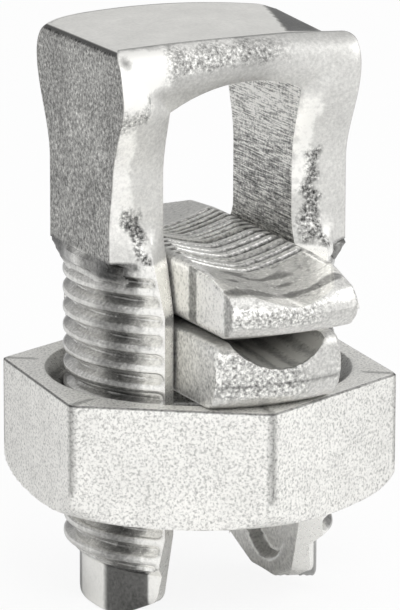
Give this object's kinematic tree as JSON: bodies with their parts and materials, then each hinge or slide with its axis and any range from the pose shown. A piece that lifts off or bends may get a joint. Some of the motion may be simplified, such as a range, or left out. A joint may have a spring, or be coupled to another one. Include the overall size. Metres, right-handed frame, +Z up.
{
  "type": "split bolt connector",
  "caption": "Tin-plated split bolt wire connector: a forged U-shaped bolt with a slotted threaded shank, a hex nut, and cradle bars that clamp wires under the head.",
  "frame": {"origin": "on the thread's axis, at the height of the longer leg's tip", "axes": "+Z up along the thread's axis towards the head, +X across the slot towards the shorter leg, +Y along the wires, away from the camera's side"},
  "size_m": [0.0338, 0.041, 0.0548],
  "materials": {
    "forged_tin": "tin plating over a forged copper alloy: satin front faces, grainy side and slot faces, glossy threads",
    "nut_tin": "tin plating, satin with a fine speckle",
    "bar_tin": "tin plating, glossy sides, grainy ends, ribbed wire bed"
  },
  "bodies": {
    "bolt": {"bolt_body": "forged_tin"},
    "clamp": {"pressure_bar": "bar_tin"},
    "nut": {"hex_nut": "nut_tin"},
    "spacer": {"spacer_bar": "bar_tin"}
  },
  "joints": [
    {"name": "nut_travel", "type": "slide", "parent": "bolt", "child": "clamp", "axis": [0, 0, 1], "range_m": [-0.0044, 0.007]},
    {"name": "nut_turn", "type": "hinge", "parent": "clamp", "child": "nut", "pos_m": [0, 0, 0.0163], "axis": [0, 0, 1], "range_deg": [-874, 1390]},
    {"name": "spacer_lift", "type": "slide", "parent": "clamp", "child": "spacer", "axis": [0, 0, 1], "range_m": [0, 0.0054]}
  ],
  "couplings": [
    {"joint": "nut_turn", "follows": "nut_travel", "rad_per_m": 3463.7}
  ]
}
